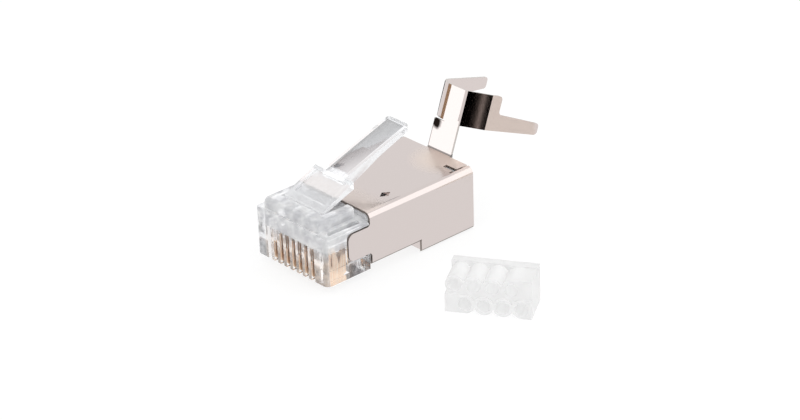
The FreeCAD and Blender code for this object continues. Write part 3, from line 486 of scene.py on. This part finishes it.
def tail_edges(tree, where):
    """Sheared edges of the tail: the plate's sides and the wings' upper and lower rims."""
    place = add(tree, "ShaderNodeSeparateXYZ", links=[(0, where.outputs["Object"])])
    turn = add(tree, "ShaderNodeSeparateXYZ", links=[(0, where.outputs["Normal"])])
    sideways = add(tree, "ShaderNodeMath", operation="ABSOLUTE", links=[(0, turn.outputs["X"])])
    upward = add(tree, "ShaderNodeMath", operation="ABSOLUTE", links=[(0, turn.outputs["Z"])])
    square_on = add(tree, "ShaderNodeMath", operation="GREATER_THAN",
                    links=[(0, sideways.outputs[0])], values=[(1, 0.95)])
    on_plate = add(tree, "ShaderNodeMath", operation="LESS_THAN",
                   links=[(0, place.outputs["Y"])], values=[(1, plate_back)])
    plate_rim = add(tree, "ShaderNodeMath", operation="MULTIPLY",
                    links=[(0, square_on.outputs[0]), (1, on_plate.outputs[0])])
    wing_rim = add(tree, "ShaderNodeMath", operation="GREATER_THAN",
                   links=[(0, upward.outputs[0])], values=[(1, 0.8)])
    return add(tree, "ShaderNodeMath", operation="MAXIMUM",
               links=[(0, plate_rim.outputs[0]), (1, wing_rim.outputs[0])])


def corner_painted_reflection(tree, where):
    """A painted dark reflection in the corner at the left wing's foot, and fainter painted shade
    down the plate's left edge and along its foot."""
    wing_foot = (-1.15 * MM, 22.5 * MM, 9.35 * MM)
    left_edge, plate_foot = -1.5 * MM, 6.73 * MM
    away = add(tree, "ShaderNodeVectorMath", operation="DISTANCE",
               links=[(0, where.outputs["Object"])], values=[(1, wing_foot)])
    ragged = add(tree, "ShaderNodeTexNoise", Scale=1800.0, Detail=3.0,
                 links=[("Vector", where.outputs["Object"])])
    reach = add(tree, "ShaderNodeMath", operation="MULTIPLY_ADD",
                links=[(0, ragged.outputs[0]), (2, away.outputs["Value"])],
                values=[(1, -0.5 * MM)])
    corner = add(tree, "ShaderNodeMapRange", links=[("Value", reach.outputs[0])],
                 From_Min=0.18 * MM, From_Max=0.62 * MM, To_Min=1.0, To_Max=0.0)
    place = add(tree, "ShaderNodeSeparateXYZ", links=[(0, where.outputs["Object"])])
    leftmost = add(tree, "ShaderNodeMath", operation="LESS_THAN",
                   links=[(0, place.outputs["X"])], values=[(1, left_edge)])
    on_plate = add(tree, "ShaderNodeMath", operation="LESS_THAN",
                   links=[(0, place.outputs["Y"])], values=[(1, plate_back)])
    foot = add(tree, "ShaderNodeMath", operation="LESS_THAN",
               links=[(0, place.outputs["Z"])], values=[(1, plate_foot)])
    edge = add(tree, "ShaderNodeMath", operation="MAXIMUM",
               links=[(0, leftmost.outputs[0]), (1, foot.outputs[0])])
    painted_edge_shade = add(tree, "ShaderNodeMath", operation="MULTIPLY",
               links=[(0, edge.outputs[0]), (1, on_plate.outputs[0])])
    faint = add(tree, "ShaderNodeMath", operation="MULTIPLY",
                links=[(0, painted_edge_shade.outputs[0])], values=[(1, 0.6)])
    return add(tree, "ShaderNodeMath", operation="MAXIMUM",
               links=[(0, corner.outputs[0]), (1, faint.outputs[0])])


# The same plating as the shield's, left brighter because no tool has rubbed it: a clear mirror
# that shows hard dark and pale bands where it bends.
# painted light: a dark reflection painted into the corner at the left wing's foot, and shade
# along the plate's left edge and foot
dress("crimp_tail", plated("steel_nickel_plated_bright", shade="#d7ccc9", dull=0.06,
                           bare_and_shade="#cdc8c4", edge_and_shade_masks=tail_edges, painted_light_mask=corner_painted_reflection,
                           painted_tone="#1c1511", painted_tone_dull=0.4))


# Wire guide: the comb that keeps the eight wires apart, in two rows of four short tubes. It
# comes loose with the plug and lies beside it. Moulded in undyed polycarbonate.
# Undyed and straight from the mould it is nearly white: light crosses its thin milky walls.
natural = new_material("polycarbonate_natural_moulded")
tree = natural.node_tree
where = add(tree, "ShaderNodeTexCoord")
cloud = add(tree, "ShaderNodeTexNoise", Scale=1100.0, Detail=2.0,
            links=[("Vector", where.outputs["Object"])])
share = add(tree, "ShaderNodeMapRange", links=[("Value", cloud.outputs[0])],
            To_Min=0.35, To_Max=0.65)
shine = add(tree, "ShaderNodeBsdfPrincipled", Base_Color=linear("#ffffff"), Roughness=0.3,
            IOR=1.585)
across = add(tree, "ShaderNodeBsdfTranslucent", Color=linear("#ffffff"))
milk = add(tree, "ShaderNodeMixShader",
           links=[(0, share.outputs[0]), (1, shine.outputs[0]), (2, across.outputs[0])])
# painted glow: a faint emission lifts the whole guide, standing in for light that gathers
# between the walls of the tubes
painted_glow = add(tree, "ShaderNodeEmission", Color=linear("#ffffff"), Strength=0.045)
lit = add(tree, "ShaderNodeAddShader", links=[(0, milk.outputs[0]), (1, painted_glow.outputs[0])])
clear = add(tree, "ShaderNodeBsdfTransparent", Color=linear("#fcfcfc"))
mix = add(tree, "ShaderNodeMixShader", values=[(0, 0.4)],
          links=[(1, lit.outputs[0]), (2, clear.outputs[0])])
add(tree, "ShaderNodeOutputMaterial", links=[("Surface", mix.outputs[0])])
dress("wire_guide", natural)

bpy.context.view_layer.update()
